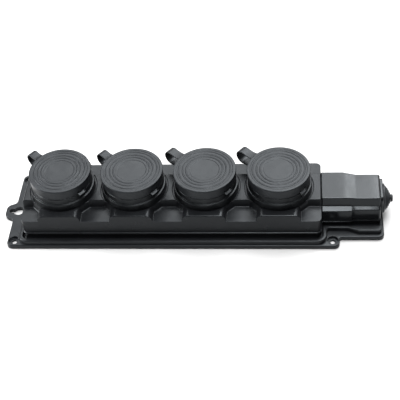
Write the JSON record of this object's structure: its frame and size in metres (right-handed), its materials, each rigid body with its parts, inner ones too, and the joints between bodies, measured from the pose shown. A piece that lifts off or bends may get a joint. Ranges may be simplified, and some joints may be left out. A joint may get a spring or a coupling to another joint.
{
  "type": "portable power distribution box",
  "caption": "Wall block of round mains sockets in a row under strap-hinged caps, with a cable box and a stepped cable membrane at one end.",
  "frame": {"origin": "centre of the four wall holes, on the wall face", "axes": "+X along the row to the cable inlet, +Y across the row to the side of the cap straps, +Z away from the wall"},
  "size_m": [0.3626, 0.092, 0.0561],
  "materials": {
    "base_plastic": "satin moulded black",
    "cover_plastic": "satin moulded black",
    "box_plastic": "satin moulded black",
    "cap_rubber": "fine-grained dark grey",
    "ring_rubber": "smooth black",
    "strap_rubber": "smooth black",
    "membrane_rubber": "matt black",
    "seal_rubber": "matt dark grey",
    "insert_plastic": "matt black",
    "terminal_plastic": "matt light grey",
    "brass": "stamped",
    "spring_metal": "nickel plated",
    "screw_steel": "zinc plated"
  },
  "bodies": {
    "block": {"base_plate": "base_plastic", "base_gasket": "seal_rubber", "housing_cover": "cover_plastic", "cover_screws": "screw_steel", "cable_box": "box_plastic", "box_gasket": "seal_rubber", "box_screws": "screw_steel", "inlet_frame": "box_plastic", "cable_membrane": "membrane_rubber", "cable_clamp": "insert_plastic", "clamp_screws": "screw_steel", "terminal_block": "terminal_plastic", "terminal_screws": "screw_steel", "line_bar": "brass", "neutral_bar": "brass", "earth_bar": "brass", "insert_screws": "screw_steel", "socket_insert_1": "insert_plastic", "socket_insert_2": "insert_plastic", "socket_insert_3": "insert_plastic", "socket_insert_4": "insert_plastic", "contact_sleeves_1": "brass", "contact_sleeves_2": "brass", "contact_sleeves_3": "brass", "contact_sleeves_4": "brass", "earth_clip_1": "spring_metal", "earth_clip_2": "spring_metal", "earth_clip_3": "spring_metal", "earth_clip_4": "spring_metal", "strap_ring_1": "ring_rubber", "strap_ring_2": "ring_rubber", "strap_ring_3": "ring_rubber", "strap_ring_4": "ring_rubber", "strap_1": "strap_rubber", "strap_2": "strap_rubber", "strap_3": "strap_rubber", "strap_4": "strap_rubber"},
    "hinged_cap_1": {"cap_1": "cap_rubber", "cap_seal_1": "seal_rubber"},
    "hinged_cap_2": {"cap_2": "cap_rubber", "cap_seal_2": "seal_rubber"},
    "hinged_cap_3": {"cap_3": "cap_rubber", "cap_seal_3": "seal_rubber"},
    "hinged_cap_4": {"cap_4": "cap_rubber", "cap_seal_4": "seal_rubber"}
  },
  "joints": [
    {"name": "cap_hinge_1", "type": "hinge", "parent": "block", "child": "hinged_cap_1", "pos_m": [-0.13201, 0.02635, 0.0477], "axis": [-0.6428, -0.766, 0], "range_deg": [0, 110], "deforming": ["strap_1"]},
    {"name": "cap_hinge_2", "type": "hinge", "parent": "block", "child": "hinged_cap_2", "pos_m": [-0.06561, 0.02635, 0.0477], "axis": [-0.6428, -0.766, 0], "range_deg": [0, 110], "deforming": ["strap_2"]},
    {"name": "cap_hinge_3", "type": "hinge", "parent": "block", "child": "hinged_cap_3", "pos_m": [0.00079, 0.02635, 0.0477], "axis": [-0.6428, -0.766, 0], "range_deg": [0, 110], "deforming": ["strap_3"]},
    {"name": "cap_hinge_4", "type": "hinge", "parent": "block", "child": "hinged_cap_4", "pos_m": [0.06719, 0.02635, 0.0477], "axis": [-0.6428, -0.766, 0], "range_deg": [0, 110], "deforming": ["strap_4"]}
  ]
}
